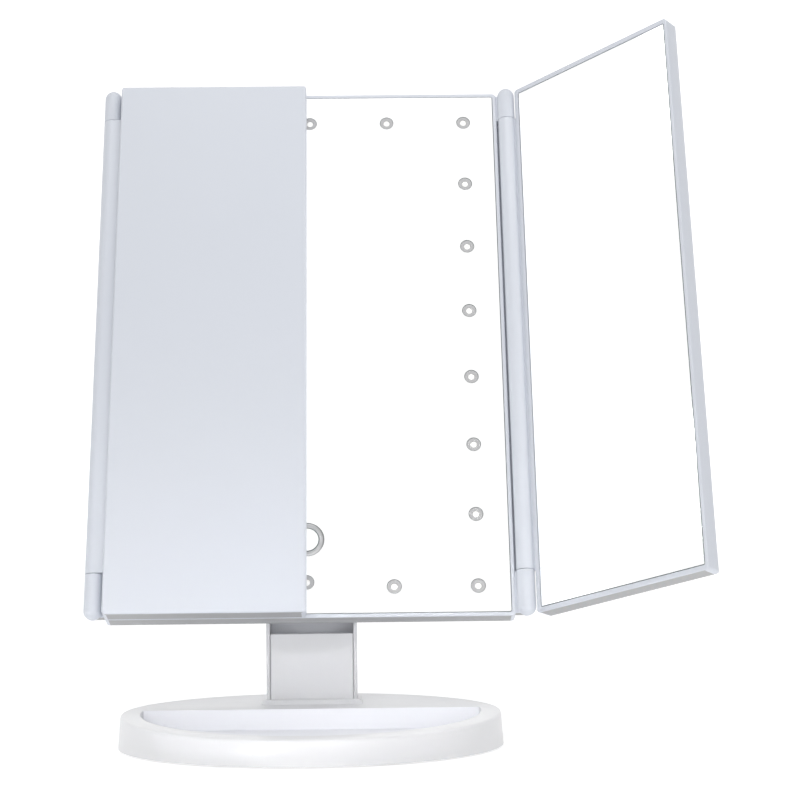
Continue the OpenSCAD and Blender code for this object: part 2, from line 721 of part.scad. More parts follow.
module bay_walls() {
    translate([bay_x - bay_half - 1.4, bay_floor - 1.2, bay_z - 1.4])
        cube([2 * bay_half + 2.8, hump_t - bay_floor - 0.6, bay_top - bay_z + 2.8]);
    // shelf that the door lies on
    translate([bay_x - door_half - tongue - 2, door_y - 1.8, hump_z + 0.5])
        cube([2 * (door_half + tongue + 2), 2, door_top - hump_z + 1.2]);
}
module board_posts() {
    for (x = [-1, 1], z = [board_z0 + post_in, board_z1 - post_in])
        translate([control_x + x * (board_half - post_in), 0, z]) rod_y(2, pcb_y + pcb_t, through);
}
module usb_hole(gap) {
    translate([-port_w / 2 - gap, pcb_y + pcb_t - gap]) square([port_w + 2 * gap, port_t + 2 * gap]);
}
module control_board() color(green) in_head() {
    facing(pcb_y, pcb_y + pcb_t)
        round_box(control_x - board_half, control_x + board_half, board_z0, board_z1, 1, 1);
    // controller chip, choke and two capacitors on the inner face
    translate([control_x - 6, pcb_y - 1.6, board_z0 + 18]) cube([9, 1.6 + eps, 6]);
    translate([control_x + 7, 0, board_z0 + 34]) rod_y(3.2, pcb_y - 5, pcb_y + eps);
    translate([control_x - 7, 0, board_z0 + 38]) rod_y(2.5, pcb_y - 6, pcb_y + eps);
    translate([control_x + 7, 0, board_z0 + 10]) rod_y(2.5, pcb_y - 6, pcb_y + eps);
}
module usb_port() color(steel) in_head() {
    translate([control_x, 0, hump_z + 0.6]) difference() {
        upward(0, 6.4) usb_hole(0);
        upward(-1, 5) translate([-port_w / 2 + 0.5, pcb_y + pcb_t + 0.5]) square([port_w - 1, port_t - 1]);
    }
    translate([control_x - 2.4, pcb_y + pcb_t + port_t / 2 - 0.3, hump_z + 1.6]) cube([4.8, 0.6, 4.2]);
}
module switch_housing() color(black) in_head() {
    difference() {
        translate([control_x - 4, pcb_y + pcb_t, switch_z - 4]) cube([8, 3.6, 8 + switch_travel]);
        translate([control_x - 1.6, pcb_y + pcb_t + 0.8, switch_z - 2]) cube([3.2, 10, 4 + switch_travel]);
    }
}
module power_switch() color(shade) in_head() {
    difference() {
        union() {
            soft_block(control_x - 2.5, control_x + 2.5, pcb_y + pcb_t + 3.8, hump_t + 0.8,
                switch_z - 2.4, switch_z + 2.4, 0.2, 0.5, 0.4);
            translate([control_x - 1.4, pcb_y + pcb_t + 1.1, switch_z - 1.8]) cube([2.8, 3, 3.6]);
        }
        for (i = [-1, 0, 1]) translate([control_x - 5, hump_t + 0.5, switch_z + i * 1.2 - 0.2]) cube([10, 1, 0.4]);
    }
}
module rear_screws() color(steel) in_head() {
    for (p = frame_screws) translate([p[0], 0, p[1]]) {
        rod_y(screw_head_r, head_t - screw_head_t - fit, head_t - fit);
        rod_y(screw_r, board_y, head_t - screw_head_t - fit);
    }
}
module battery_cells() color(black) in_head() {
    for (i = [0 : cells - 1]) {
        flip = i % 2;
        translate([bay_x - bay_half + 1 + cell_r + 2 * cell_r * i, cell_y, bay_z + 1.2]) {
            translate([0, 0, flip ? 1.2 : 0]) cylinder(r = cell_r - 0.05, h = cell_l - 1.2);
            translate([0, 0, flip ? 0 : cell_l - 1.2 - eps]) cylinder(r = 2.7, h = 1.2 + 2 * eps);
        }
    }
}
module battery_contacts() color(steel) in_head() {
    for (z = [bay_z, bay_top - 0.4], i = [0 : cells / 2 - 1])
        translate([bay_x - bay_half + 1 + 4 * cell_r * i + 1, cell_y - 5, z]) cube([4 * cell_r - 3, 10, 0.4]);
    // folded springs that press on the flat ends
    for (i = [0 : cells - 1]) {
        flip = i % 2;
        x = bay_x - bay_half + 1 + cell_r + 2 * cell_r * i;
        translate([x - 2.5, cell_y - 2.5, flip ? bay_z + cell_l + 1.2 : bay_z + 0.4])
            cube([5, 5, flip ? bay_top - 0.4 - bay_z - cell_l - 1.2 : 0.8]);
    }
}
// Two leads from the bay to the control board, along the floor of the raised part
module battery_leads() color([0.7, 0.1, 0.1]) in_head() {
    x0 = bay_x + bay_half + 1.4;
    for (i = [0, 1]) {
        z = bay_z + 12 + 4 * i;
        translate([0, bay_floor + 4, z]) rod_x(0.6, x0, control_x - 10);
        translate([control_x - 10, 0, z]) rod_y(0.6, bay_floor + 4, pcb_y);
        translate([control_x - 10, bay_floor + 4, z]) sphere(0.6);
    }
}
module battery_door() color(white) in_head() {
    difference() {
        union() {
            intersection() {
                translate([bay_x - door_half, door_y, hump_z]) cube([2 * door_half, door_t, door_top - hump_z]);
                soft_block(-hump_x, hump_x, head_t, hump_t, hump_z, hump_z1, 0.2, 2.5, 7);
            }
            for (z = tongue_z) translate([bay_x - door_half - tongue, door_y, z - 5.6])
                cube([2 * (door_half + tongue), 0.8, 11.2]);
        }
        // grip ribs, cut as shallow grooves
        for (i = [0 : 4]) translate([bay_x - 9, hump_t - 0.5, hump_z + 7 + 2.4 * i]) cube([18, 2, 1.1]);
    }
}

// ======== Hinges and wings ========
pin_len = pin_in_cap + bush_l - 1;
module hinge_pins() {
    translate([0, 0, cap_low - pin_in_cap + 0.1]) cylinder(r = pin_r, h = pin_len);
    translate([0, 0, head_h - cap_high - pin_len + pin_in_cap - 0.1]) cylinder(r = pin_r, h = pin_len);
}
module left_hinge_pins() color(steel) in_head() translate([-axis_x, 0, 0]) hinge_pins();
module right_hinge_pins() color(steel) in_head() translate([axis_x, 0, 0]) hinge_pins();

// A wing is drawn closed, with its hinge axis at x = 0 and its free edge at +x
wing_x0 = column_r + edge_gap;
wing_x1 = axis_x - wing_gap / 2;
wing_y1 = -face_gap;
wing_y0 = -face_gap - wing_t;
pocket_y = wing_y1 - wing_recess - glass_t + 0.2 - tape_t;
pane_t = glass_t - 0.2;
skin_y = wing_y0 + wall;
barrel_z0 = cap_low + cap_seam;
barrel_z1 = head_h - cap_high - cap_seam;
pane_x0 = wing_x0 + wing_rim_hinge;
pane_x1 = wing_x1 - wing_rim;
split_z = head_h * (1 - upper_share);
panes_two = [[wing_rim_end, split_z - pane_bar / 2], [split_z + pane_bar / 2, head_h - wing_rim_end]];
panes_one = [[wing_rim_end, head_h - wing_rim_end]];

module in_left_wing() in_head() translate([-axis_x, 0, 0]) rotate([0, 0, -left_open]) children();
module in_right_wing() {
    in_head() translate([axis_x, 0, 0]) rotate([0, 0, right_open]) mirror([1, 0, 0]) children();
}
module wing_shell(panes) {
    difference() {
        union() {
            soft_block(wing_x0, wing_x1, wing_y0, wing_y1, 0, head_h, wing_edge_r, 0.4, corner_r);
            translate([0, 0, barrel_z0]) cylinder(r = column_r, h = barrel_z1 - barrel_z0);
            translate([0, -column_r, barrel_z0]) cube([wing_x0 + 1, column_r - face_gap - 0.3, barrel_z1 - barrel_z0]);
        }
        for (p = panes) {
            facing(pocket_y, 1) round_box(pane_x0, pane_x1, p[0], p[1], 0.8, 0.8);
            difference() {
                facing(skin_y, pocket_y + eps) round_box(pane_x0 + wing_ledge, pane_x1 - wing_ledge,
                    p[0] + wing_ledge, p[1] - wing_ledge, 1, 1);
                wing_ribs();
            }
        }
        for (z = [barrel_z0 - 1, barrel_z1 - bush_l - 0.5]) translate([0, 0, z])
            cylinder(r = bush_r, h = bush_l + 1.5);
    }
}
module wing_ribs() {
    for (i = [1 : 5]) translate([0, wing_y0, head_h * i / 6 - 0.7]) cube([wing_x1, pocket_y - wing_y0, 1.4]);
    translate([(pane_x0 + pane_x1) / 2 - 0.7, wing_y0, 0]) cube([1.4, pocket_y - wing_y0, head_h]);
}
module wing_pane(p) {
    facing(wing_y1 - wing_recess - pane_t, wing_y1 - wing_recess)
        round_box(pane_x0 + glass_gap, pane_x1 - glass_gap, p[0] + glass_gap, p[1] - glass_gap, 0.6, 0.6);
}
module wing_tape(panes) {
    for (p = panes, x = [pane_x0 + 0.4, pane_x1 - 0.4 - wing_ledge + 0.6])
        translate([x, pocket_y, p[0] + 4]) cube([wing_ledge - 0.6, tape_t, p[1] - p[0] - 8]);
}
module hinge_bushes() {
    for (z = [barrel_z0, barrel_z1 - bush_l]) translate([0, 0, z]) difference() {
        cylinder(r = bush_r, h = bush_l);
        translate([0, 0, -1]) cylinder(r = pin_r + run_gap, h = bush_l + 2);
    }
}
module left_wing_shell() color(white) in_left_wing() wing_shell(panes_two);
module left_mirror_upper() color(mirror_grey) in_left_wing() wing_pane(panes_two[1]);
module left_mirror_lower() color(mirror_grey) in_left_wing() wing_pane(panes_two[0]);
module left_wing_tape() color(shade) in_left_wing() wing_tape(panes_two);
module left_hinge_bushes() color(black) in_left_wing() hinge_bushes();
module right_wing_shell() color(white) in_right_wing() wing_shell(panes_one);
module right_mirror() color(mirror_grey) in_right_wing() wing_pane(panes_one[0]);
module right_wing_tape() color(shade) in_right_wing() wing_tape(panes_one);
module right_hinge_bushes() color(black) in_right_wing() hinge_bushes();

base_shell();
base_bottom();
base_weight();
base_pad();
base_screws();
neck_back();
neck_front();
neck_screws();
pivot_shaft();
friction_washers();
spring_washers();
pivot_nut();
pivot_caps();
hinge_block();
hinge_block_screws();
centre_frame();
centre_glass();
glass_tape();
led_board();
led_chips();
led_cups();
touch_ring();
touch_cap();
touch_pad();
control_board();
usb_port();
switch_housing();
rear_cover();
rear_screws();
battery_cells();
battery_contacts();
battery_leads();
left_hinge_pins();
right_hinge_pins();
left_wing_shell();
left_mirror_upper();
left_mirror_lower();
left_wing_tape();
left_hinge_bushes();
right_wing_shell();
right_mirror();
right_wing_tape();
right_hinge_bushes();
power_switch();
battery_door();
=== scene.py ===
import json
import math

import bmesh
import bpy
from mathutils import Euler, Matrix, Vector


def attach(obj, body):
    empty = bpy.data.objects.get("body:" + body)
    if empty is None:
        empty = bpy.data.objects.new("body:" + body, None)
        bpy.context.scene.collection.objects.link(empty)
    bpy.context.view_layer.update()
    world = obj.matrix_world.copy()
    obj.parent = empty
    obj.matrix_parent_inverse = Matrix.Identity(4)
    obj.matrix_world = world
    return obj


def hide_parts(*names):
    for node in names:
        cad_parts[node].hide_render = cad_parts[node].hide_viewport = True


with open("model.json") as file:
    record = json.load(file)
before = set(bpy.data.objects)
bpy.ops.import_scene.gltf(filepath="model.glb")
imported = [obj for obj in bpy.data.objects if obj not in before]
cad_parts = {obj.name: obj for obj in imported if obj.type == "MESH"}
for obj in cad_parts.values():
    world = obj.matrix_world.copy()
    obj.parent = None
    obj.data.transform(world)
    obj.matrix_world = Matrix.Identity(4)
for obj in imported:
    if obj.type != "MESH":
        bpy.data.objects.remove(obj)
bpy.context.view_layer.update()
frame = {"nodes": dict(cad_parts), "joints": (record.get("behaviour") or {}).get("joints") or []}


# ==== Camera ===========================================================================
# The eye is nearly level, about 0.8 m in front of the mirror and 10 cm above the table.
# The picture was framed off the middle, so the lens is shifted a little.

eye = bpy.data.cameras.new("camera")
eye.sensor_width = 36
eye.lens = 84.8
eye.shift_x = 0.0189
eye.shift_y = 0.1000
eye.clip_start = 0.01
camera = bpy.data.objects.new("camera", eye)
camera.location = (0.0217, -0.7715, 0.1017)
camera.rotation_euler = Euler((math.radians(90.49), math.radians(0.617), math.radians(-0.697)), "XYZ")
bpy.context.scene.collection.objects.link(camera)
bpy.context.scene.camera = camera


# ==== Studio ===========================================================================
# A white table and a white screen behind it, in a pale grey room, so that the sides fall off
# softly. A low lamp in front lights the foot and the lower panels most, and one hangs overhead.

bpy.context.scene.view_settings.view_transform = "Standard"


class Signal:
    """A shader socket that plain arithmetic can be done on."""

    def __init__(self, tree, socket):
        self.tree = tree
        self.socket = socket

    def maths(self, operation, first, second):
        node = self.tree.nodes.new("ShaderNodeMath")
        node.operation = operation
        for entry, value in zip(node.inputs, (first, second)):
            if isinstance(value, Signal):
                self.tree.links.new(value.socket, entry)
            else:
                entry.default_value = value
        return Signal(self.tree, node.outputs[0])

    def __add__(self, other):
        return self.maths("ADD", self, other)

    def __sub__(self, other):
        return self.maths("SUBTRACT", self, other)

    def __rsub__(self, other):
        return self.maths("SUBTRACT", other, self)

    def __mul__(self, other):
        return self.maths("MULTIPLY", self, other)


class Finish:
    """A material: one Principled shader and the nodes that vary it over the surface."""

    def __init__(self, name, tint, roughness, metallic=0.0):
        self.material = bpy.data.materials.new(name)
        self.material.use_nodes = True
        self.tree = self.material.node_tree
        self.shader = self.tree.nodes["Principled BSDF"]
        self.set("Base Color", tint)
        self.set("Roughness", roughness)
        self.set("Metallic", metallic)

    def feed(self, entry, value):
        if isinstance(value, Signal):
            self.tree.links.new(value.socket, entry)
        elif isinstance(value, tuple) and len(entry.default_value) == 4:
            entry.default_value = (*value, 1)
        else:
            entry.default_value = value

    def set(self, entry, value):
        self.feed(self.shader.inputs[entry], value)

    def node(self, kind, settings, entries, output=0):
        made = self.tree.nodes.new(kind)
        for name, value in settings.items():
            setattr(made, name, value)
        for entry, value in entries.items():
            self.feed(made.inputs[entry], value)
        return Signal(self.tree, made.outputs[output])

    def spot(self, stretch):
        place = self.node("ShaderNodeTexCoord", {}, {}, 3)
        return self.node("ShaderNodeMapping", {}, {"Vector": place, "Scale": stretch})

    def cloud(self, scale, detail=2.0, stretch=(1.0, 1.0, 1.0)):
        return self.node("ShaderNodeTexNoise", {},
                         {"Vector": self.spot(stretch), "Scale": scale, "Detail": detail})

    def cells(self, scale):
        return self.node("ShaderNodeTexVoronoi", {"feature": "F1"},
                         {"Vector": self.spot((1.0, 1.0, 1.0)), "Scale": scale})

    def blend(self, share, first, second):
        return self.node("ShaderNodeMix", {"data_type": "RGBA"}, {0: share, 6: first, 7: second}, 2)

    def mottle(self, pattern, first, second):
        self.set("Base Color", self.blend(pattern, first, second))

    def glow(self, strength, tint=(1.0, 1.0, 1.0)):
        self.set("Emission Color", tint)
        self.set("Emission Strength", strength)

    def relief(self, height, depth, strength=1.0):
        self.set("Normal", self.node("ShaderNodeBump", {},
                                     {"Height": height, "Distance": depth, "Strength": strength}))


def let_go():
    bpy.ops.object.select_all(action="DESELECT")


let_go()
bpy.ops.mesh.primitive_plane_add(size=8, location=(0, 0, 0))
table = bpy.context.object
table.name = "table_top"
table_white = Finish("table_white", (0.62, 0.62, 0.625), 0.9)
table_white.mottle(table_white.cloud(3.0), (0.62, 0.62, 0.625), (0.64, 0.64, 0.645))
table_white.glow(0.52)
table.data.materials.append(table_white.material)

let_go()
bpy.ops.mesh.primitive_plane_add(size=8, location=(0, 2.6, 0), rotation=(math.radians(90), 0, 0))
screen = bpy.context.object
screen.name = "back_screen"
screen_white = Finish("screen_white", (0.5, 0.5, 0.5), 0.9)
screen_white.mottle(screen_white.cloud(2.0), (0.5, 0.5, 0.5), (0.52, 0.52, 0.52))
screen_white.glow(0.8)
screen.data.materials.append(screen_white.material)

room = bpy.data.worlds.new("room")
room.use_nodes = True
room_light = room.node_tree.nodes["Background"]
room_light.inputs["Color"].default_value = (1, 1, 1, 1)
room_light.inputs["Strength"].default_value = 0.55
bpy.context.scene.world = room


def soft_lamp(name, place, aim, width, power, spread):
    lamp = bpy.data.lights.new(name, "AREA")
    lamp.shape = "DISK"
    lamp.size = width
    lamp.energy = power
    lamp.spread = math.radians(spread)
    stand = bpy.data.objects.new(name, lamp)
    stand.location = place
    stand.rotation_euler = (Vector(aim) - Vector(place)).to_track_quat("-Z", "Y").to_euler()
    bpy.context.scene.collection.objects.link(stand)


soft_lamp("front_lamp", (0.10, -1.05, 0.12), (0, 0, 0.14), 0.9, 4.5, 180)
soft_lamp("foot_lamp", (-0.40, -0.76, 0.56), (0, -0.06, 0.0), 0.16, 0.045, 20)
soft_lamp("top_lamp", (0, -0.25, 1.4), (0, 0, 0.05), 0.9, 4.8, 180)


# ==== Foot: shell ======================================================================
# One moulding of white ABS: an oval foot with a sloped platform, a half-moon tray in front
# and a low collar round the neck. Its mould was polished; the tray has a whiter tint as painted light.

def active(piece):
    let_go()
    piece.select_set(True)
    bpy.context.view_layer.objects.active = piece


def edit(piece):
    active(piece)
    bpy.ops.object.mode_set(mode="EDIT")


def done():
    bpy.ops.object.mode_set(mode="OBJECT")


weld = 0.000002


def traced(node, name):
    """The node's own solid as a new piece, with its loose triangles joined into clean faces."""
    piece = bpy.data.objects.new(name, frame["nodes"][node].data.copy())
    bpy.context.scene.collection.objects.link(piece)
    edit(piece)
    bpy.ops.mesh.select_all(action="SELECT")
    bpy.ops.mesh.remove_doubles(threshold=weld)
    bpy.ops.mesh.dissolve_limited(angle_limit=math.radians(0.4))
    done()
    return piece


def finish_with(piece, kind, **settings):
    active(piece)
    modifier = piece.modifiers.new(kind.lower(), kind)
    for name, value in settings.items():
        setattr(modifier, name, value)
    bpy.ops.object.modifier_apply(modifier=modifier.name)


def round_edges(piece, radius, steps=2, sharper_than=32):
    """Rolls every edge that is sharper than so many degrees, and shades the rest smooth."""
    finish_with(piece, "BEVEL", width=radius, segments=steps, limit_method="ANGLE",
                angle_limit=math.radians(sharper_than), use_clamp_overlap=True)
    active(piece)
    bpy.ops.object.shade_smooth_by_angle(angle=math.radians(38))


def fit(piece, body, material, node):
    piece.data.materials.clear()
    piece.data.materials.append(material)
    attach(piece, body)
    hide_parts(node)


def moulded(name, tint, roughness, depth=0.00002):
    """Moulded plastic: faint clouding and yellowing, uneven gloss, and a fine grain."""
    made = Finish(name, tint, roughness)
    paler = tuple(0.985 * c for c in tint)
    warmer = (tint[0] * 0.985, tint[1] * 0.98, tint[2] * 0.955)
    clouded = made.blend(made.cloud(38.0, 3.0), tint, paler)
    made.mottle(made.cloud(7.0, 1.0) * 0.5, clouded, warmer)
    made.set("Roughness", (made.cloud(240.0, 4.0) - 0.5) * 0.1 + roughness)
    made.relief(made.cloud(2600.0, 1.0) + made.cloud(60.0) * 2.0, depth, 0.5)
    made.set("IOR", 1.52)
    return made.material


foot_white = moulded("foot_white", (0.68, 0.684, 0.704), 0.30, 0.00001)
foot = traced("base_shell", "foot_shell")
round_edges(foot, 0.0005, 3)
fit(foot, "stand", foot_white, "base_shell")
# the tray's floor and its straight back wall get a whiter tint: painted light, for the extra light
# they catch
tray_floor_z = 0.006
tray_wall_y = 0.0046
painted_light_white = moulded("painted_light_white", (0.79, 0.80, 0.845), 0.36, 0.000004)
foot.data.materials.append(painted_light_white)
for face in foot.data.polygons:
    on_floor = face.normal.z > 0.95 and abs(face.center.z - tray_floor_z) < 0.0008
    on_wall = face.normal.y < -0.9 and abs(face.center.y - tray_wall_y) < 0.0012
    if on_floor or on_wall:
        face.material_index = 1


# ==== Foot: underside ==================================================================
# The cover is a flat matt moulding screwed up into the shell. The ballast above it is sheared
# steel plate, and the pad is die-cut foam rubber, stuck into a shallow bed.

under_white = moulded("under_white", (0.62, 0.62, 0.63), 0.62, 0.00006)
cover_plate = traced("base_bottom", "foot_cover")
round_edges(cover_plate, 0.0002)
fit(cover_plate, "stand", under_white, "base_bottom")

foam_black = Finish("foam_black", (0.035, 0.035, 0.038), 0.85)
pores = foam_black.cells(900.0)
foam_black.mottle(pores, (0.022, 0.022, 0.024), (0.055, 0.055, 0.058))
foam_black.set("Roughness", 0.95 - foam_black.cloud(120.0) * 0.2)
foam_black.relief(pores, 0.0002, 0.8)
pad = traced("base_pad", "foot_pad")
round_edges(pad, 0.0003)
fit(pad, "stand", foam_black.material, "base_pad")


def metal(name, tint, roughness, streak=(1.0, 1.0, 1.0)):
    made = Finish(name, tint, roughness, 1.0)
    dull = made.cloud(160.0, 3.0, streak)
    made.mottle(dull, tint, tuple(0.86 * c for c in tint))
    made.set("Roughness", (dull - 0.5) * 0.2 + roughness)
    made.relief(made.cloud(1500.0, 2.0, streak), 0.00002, 0.4)
    return made.material


def dress(material, *nodes):
    for node in nodes:
        slots = frame["nodes"][node].data.materials
        slots.clear()
        slots.append(material)


dress(metal("ballast_grey", (0.36, 0.36, 0.37), 0.5, (1.0, 12.0, 1.0)), "base_weight")


# ==== Screws ===========================================================================
# Plated self-tapping screws with a pan head and a cross recess. One is made with its head's
# top at the origin and its tip down, and copies of it go where the solids have theirs.

zinc = metal("zinc", (0.58, 0.58, 0.60), 0.30)
screw_head_r = 0.002
screw_head_t = 0.001
screw_core_r = 0.0008
screw_head_round = 0.0004
screw_core_l = 0.0022
screw_tip_share = 0.55
cross_long = 0.0021
cross_wide = 0.00042
cross_deep = 0.0006
hair = 0.000001


def pick(piece, kind, test):
    """In edit mode, selects what passes the test: a vertex, or the middle of an edge or face."""
    bpy.context.tool_settings.mesh_select_mode = (kind == "VERT", kind == "EDGE", kind == "FACE")
    shape = bmesh.from_edit_mesh(piece.data)
    for group in (shape.verts, shape.edges, shape.faces):
        for item in group:
            item.select = False
    for item in {"VERT": shape.verts, "EDGE": shape.edges, "FACE": shape.faces}[kind]:
        corners = [item] if kind == "VERT" else item.verts
        if test(sum((corner.co for corner in corners), Vector()) / len(corners)):
            item.select_set(True)
    shape.select_flush_mode()
    bmesh.update_edit_mesh(piece.data)


def cut_slot(piece, long_x, long_y, depth):
    let_go()
    bpy.ops.mesh.primitive_cube_add(size=1, location=(0, 0, 0), scale=(long_x, long_y, depth * 2))
    bpy.ops.object.transform_apply(location=True, rotation=True, scale=True)
    cutter = bpy.context.object
    finish_with(piece, "BOOLEAN", object=cutter, operation="DIFFERENCE", solver="EXACT")
    bpy.data.objects.remove(cutter)


let_go()
bpy.ops.mesh.primitive_cylinder_add(vertices=40, radius=screw_head_r, depth=screw_head_t,
                                    location=(0, 0, -screw_head_t / 2))
bpy.ops.object.transform_apply(location=True)
pattern_screw = bpy.context.object
edit(pattern_screw)
pick(pattern_screw, "EDGE", lambda m: m.z > -hair and m.length > screw_head_r * 0.9)
bpy.ops.mesh.bevel(offset=screw_head_round, segments=4, affect="EDGES")
pick(pattern_screw, "FACE", lambda m: m.z < hair - screw_head_t)
bpy.ops.mesh.inset(thickness=screw_head_r - screw_core_r)
bpy.ops.mesh.extrude_region_move(TRANSFORM_OT_translate={"value": (0, 0, -screw_core_l)})
bpy.ops.transform.resize(value=(screw_tip_share, screw_tip_share, 1))
done()
cut_slot(pattern_screw, cross_long, cross_wide, cross_deep)
cut_slot(pattern_screw, cross_wide, cross_long, cross_deep)
round_edges(pattern_screw, 0.00005, 1)


def islands(node):
    """The corners of each separate solid of a node."""
    shape = bmesh.new()
    shape.from_mesh(frame["nodes"][node].data)
    bmesh.ops.remove_doubles(shape, verts=shape.verts, dist=weld)
    waiting = set(shape.verts)
    found = []
    while waiting:
        front = [waiting.pop()]
        members = [front[0].co.copy()]
        while front:
            for edge in front.pop().link_edges:
                for corner in edge.verts:
                    if corner in waiting:
                        waiting.discard(corner)
                        front.append(corner)
                        members.append(corner.co.copy())
        found.append(members)
    shape.free()
    return sorted(found, key=lambda members: tuple(round(v, 4) for v in members_middle(members)))


def members_middle(members):
    return sum(members, Vector()) / len(members)


def set_copies(pattern, name, seats, outward, spin):
    """Copies of a pattern that looks up, joined into one piece, at the seats and facing outward."""
    turn = Vector((0, 0, 1)).rotation_difference(outward).to_matrix().to_4x4()
    copies = []
    for number, seat in enumerate(seats):
        copy = bpy.data.objects.new(name, pattern.data.copy())
        bpy.context.scene.collection.objects.link(copy)
        copy.matrix_world = Matrix.Translation(seat) @ turn @ Matrix.Rotation(number * spin, 4, "Z")
        copies.append(copy)
    let_go()
    for copy in copies:
        copy.select_set(True)
    bpy.context.view_layer.objects.active = copies[0]
    bpy.ops.object.join()
    bpy.ops.object.transform_apply(location=True, rotation=True, scale=True)
    return copies[0]


def set_screws(node, name, body, outward):
    seats = []
    for members in islands(node):
        reach = max(corner.dot(outward) for corner in members)
        rim = [corner for corner in members if corner.dot(outward) > reach - screw_head_t * 1.02]
        middle = members_middle(rim)
        seats.append(middle + outward * (reach - middle.dot(outward)))
    fit(set_copies(pattern_screw, name, seats, outward, 0.9), body, zinc, node)


set_screws("base_screws", "foot_screws", "stand", Vector((0, 0, -1)))
set_screws("neck_screws", "neck_screw_pair", "stand", Vector((0, 1, 0)))


# ==== Neck =============================================================================
# Two white mouldings: a channel with the two ears of the tilt joint, and a cover let in
# between its sides from the front. Two screws from behind join them.

neck_back = traced("neck_back", "neck_channel")
round_edges(neck_back, 0.0003)
fit(neck_back, "stand", foot_white, "neck_back")
# the channel's floor, which shows above the cover, gets the tray's whiter tint: painted light that
# lifts the shade in that recess
neck_front_y = 0.018
neck_back.data.materials.append(painted_light_white)
for face in neck_back.data.polygons:
    if face.normal.y < -0.9 and face.center.y > neck_front_y + 0.001:
        face.material_index = 1
neck_cover = traced("neck_front", "neck_cover")
round_edges(neck_cover, 0.0002)
fit(neck_cover, "stand", foot_white, "neck_front")


# ==== Tilt joint =======================================================================
# A headed steel pin runs through the ears and the knuckle, between nylon friction washers.
# Conical spring washers and a nut keep it tight, under two white press-in caps.

caps = traced("pivot_caps", "pin_caps")
round_edges(caps, 0.00025, 3)
fit(caps, "stand", foot_white, "pivot_caps")
knuckle_white = moulded("knuckle_white", (0.64, 0.645, 0.66), 0.42, 0.00004)
knuckle = traced("hinge_block", "hinge_knuckle")
round_edges(knuckle, 0.0002)
fit(knuckle, "head", knuckle_white, "hinge_block")
ground_steel = metal("ground_steel", (0.70, 0.70, 0.71), 0.2, (1.0, 20.0, 20.0))
dress(ground_steel, "pivot_shaft", "left_hinge_pins", "right_hinge_pins")
dress(zinc, "spring_washers", "pivot_nut")
nylon_cream = moulded("nylon_cream", (0.68, 0.66, 0.58), 0.5)
dress(nylon_cream, "friction_washers", "left_hinge_bushes", "right_hinge_bushes")

wing_axis = {joint["name"]: joint["axis"] for joint in frame["joints"]}["left_wing_hinge"]
upright = -Vector(wing_axis).normalized()
head_back = Vector((0, upright.z, -upright.y))
set_screws("hinge_block_screws", "knuckle_screws", "head", head_back)
set_screws("rear_screws", "cover_screws", "head", head_back)
bpy.data.objects.remove(pattern_screw)


# ==== Centre panel: frame and cover ====================================================
# The front frame and the rear cover are satin white ABS mouldings with a cool tint. Six
# screws hold the cover, and its raised part houses the batteries and the control board.

panel_white = moulded("panel_white", (0.625, 0.653, 0.713), 0.36)
# painted shade: a darker grey for the flat lower ends of the panels, which face down into shadow
painted_shade_grey = moulded("painted_shade_grey", (0.385, 0.388, 0.395), 0.55)
end_zone = 0.003
end_least_area = 4e-6


def paint_end_shade(piece):
    """Paints the flat lower end of a panel moulding a darker grey: painted shade for the shadow under
    it.
    """
    piece.data.materials.append(painted_shade_grey)
    lowest = min(corner.co.dot(upright) for corner in piece.data.vertices)
    for face in piece.data.polygons:
        is_low = face.center.dot(upright) < lowest + end_zone
        if is_low and face.normal.dot(upright) < -0.9 and face.area > end_least_area:
            face.material_index = 1


centre = traced("centre_frame", "panel_frame")
round_edges(centre, 0.00018)
fit(centre, "head", panel_white, "centre_frame")
paint_end_shade(centre)
back = traced("rear_cover", "panel_back")
round_edges(back, 0.0002)
fit(back, "head", panel_white, "rear_cover")
paint_end_shade(back)


# ==== Mirrors ==========================================================================
# Float glass, 2 mm, silvered on its back and painted grey behind. The edges are ground flat
# and have a fine arris. The edge is painted a dark green-grey, partly the ground glass's own tone
# and partly painted shade for the gap round each pane, so it shows as a thin dark line.

silver = Finish("silver", (0.97, 0.975, 0.975), 0.03, 1.0)
silver.set("Roughness", silver.cloud(18.0, 5.0, (1.0, 1.0, 0.4)) * 0.03 + 0.09)
silver.mottle(silver.cloud(45.0), (0.97, 0.975, 0.975), (0.955, 0.962, 0.962))
# painted light: the silver glows faintly, so the mirror reads white whatever it faces
silver.glow(0.5)
# partly painted shade: the edge is darker than ground glass alone, for the shadowed gap round the pane
glass_edge_and_shade = Finish("glass_edge_and_shade", (0.17, 0.20, 0.195), 0.35)
glass_edge_and_shade.mottle(glass_edge_and_shade.cloud(90.0), (0.17, 0.20, 0.195), (0.13, 0.16, 0.155))
glass_edge_and_shade.relief(glass_edge_and_shade.cloud(900.0), 0.00005)
glass_back = Finish("glass_back", (0.22, 0.23, 0.24), 0.6)
glass_back.mottle(glass_back.cloud(60.0), (0.22, 0.23, 0.24), (0.27, 0.28, 0.29))
glass_back.relief(glass_back.cloud(500.0), 0.00003)


arris = 0.00028
square_on = 0.98


def make_pane(node, name, body):
    """The pane's own solid with an arris, silver on its mirror side and paint on its back."""
    pane = traced(node, name)
    broadest = max(pane.data.polygons, key=lambda side: side.area).normal.copy()
    inward = mirror_faces[body] - members_middle([corner.co for corner in pane.data.vertices])
    mirror_side = broadest if broadest.dot(inward) > 0 else -broadest
    finish_with(pane, "BEVEL", width=arris, segments=1, limit_method="ANGLE",
                angle_limit=math.radians(40), use_clamp_overlap=True)
    fit(pane, body, silver.material, node)
    pane.data.materials.append(glass_edge_and_shade.material)
    pane.data.materials.append(glass_back.material)
    for side in pane.data.polygons:
        along = side.normal.dot(mirror_side)
        side.material_index = 0 if along > square_on else 2 if along < -square_on else 1


